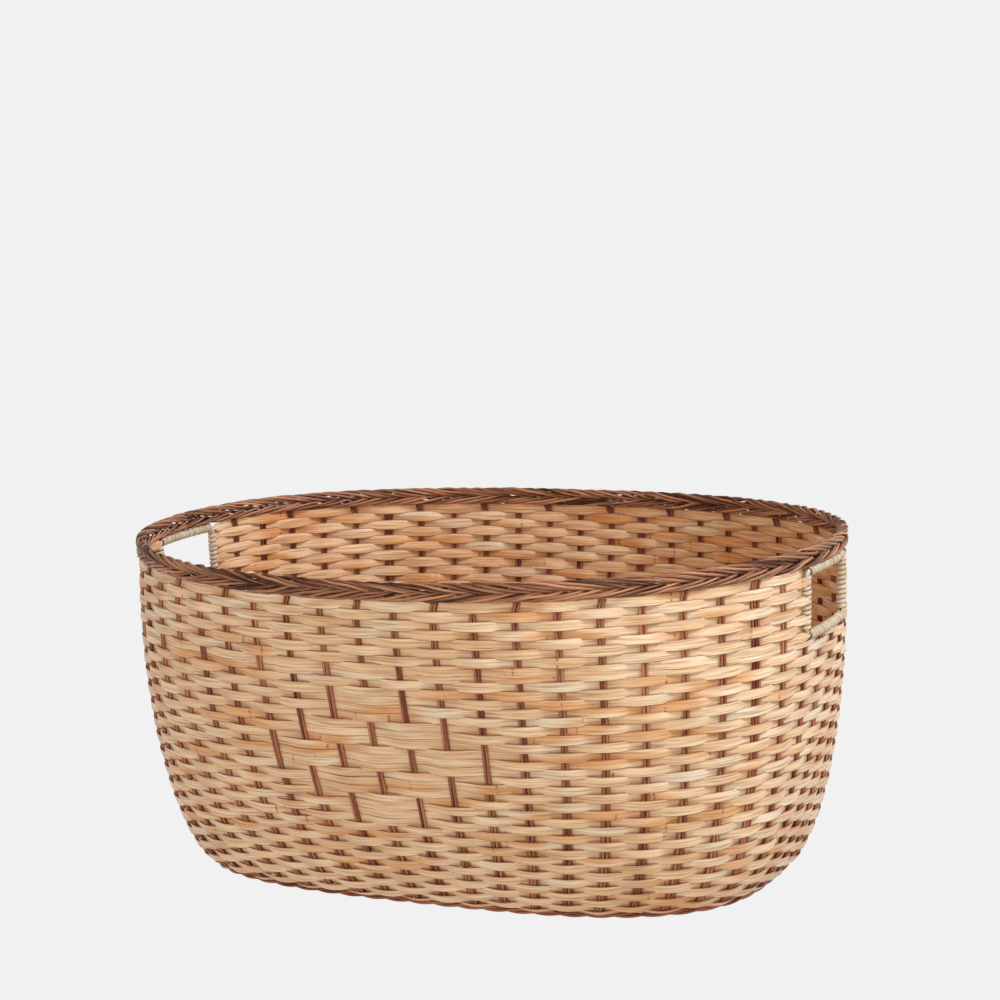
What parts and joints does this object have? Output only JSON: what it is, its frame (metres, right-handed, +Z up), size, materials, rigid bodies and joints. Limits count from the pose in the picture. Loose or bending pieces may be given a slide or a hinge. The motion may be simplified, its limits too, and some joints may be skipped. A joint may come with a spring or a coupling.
{
  "type": "laundry basket",
  "caption": "Oval hand-woven rattan laundry basket with flared sides, a plaited border and a bound hand opening at each end.",
  "frame": {"origin": "centre of the base, on the floor that the basket stands on", "axes": "+X along the length, from one hand opening to the other; -Y is the side with the woven figure; +Z up"},
  "size_m": [0.616, 0.484, 0.2867],
  "materials": {
    "weaver": "satin natural rattan strip",
    "stake": "satin brown rattan rod",
    "border": "satin brown rattan rod, plaited",
    "binding": "satin pale cane strip",
    "base": "satin natural rattan strip"
  },
  "bodies": {
    "root": {"base_panel": "base", "border_strand_1": "border", "border_strand_2": "border", "border_strand_3": "border", "foot_border": "stake", "handle_left_binding_back": "binding", "handle_left_binding_bottom": "binding", "handle_left_binding_front": "binding", "handle_left_binding_top": "binding", "handle_left_frame": "stake", "handle_right_binding_back": "binding", "handle_right_binding_bottom": "binding", "handle_right_binding_front": "binding", "handle_right_binding_top": "binding", "handle_right_frame": "stake", "stake_rod_01": "stake", "stake_rod_02": "stake", "stake_rod_03": "stake", "stake_rod_04": "stake", "stake_rod_05": "stake", "stake_rod_06": "stake", "stake_rod_07": "stake", "stake_rod_08": "stake", "stake_rod_09": "stake", "stake_rod_10": "stake", "stake_rod_11": "stake", "stake_rod_12": "stake", "stake_rod_13": "stake", "stake_rod_14": "stake", "stake_rod_15": "stake", "stake_rod_16": "stake", "stake_rod_17": "stake", "stake_rod_18": "stake", "stake_rod_19": "stake", "stake_rod_20": "stake", "stake_rod_21": "stake", "stake_rod_22": "stake", "stake_rod_23": "stake", "stake_rod_24": "stake", "stake_rod_25": "stake", "stake_rod_26": "stake", "stake_rod_27": "stake", "stake_rod_28": "stake", "weaver_back_lower": "weaver", "weaver_back_upper": "weaver", "weaver_front_lower": "weaver", "weaver_front_upper": "weaver", "weaver_ring_01": "weaver", "weaver_ring_02": "weaver", "weaver_ring_03": "weaver", "weaver_ring_04": "weaver", "weaver_ring_05": "weaver", "weaver_ring_06": "weaver", "weaver_ring_07": "weaver", "weaver_ring_08": "weaver", "weaver_ring_09": "weaver", "weaver_ring_10": "weaver", "weaver_ring_11": "weaver"}
  },
  "joints": []
}
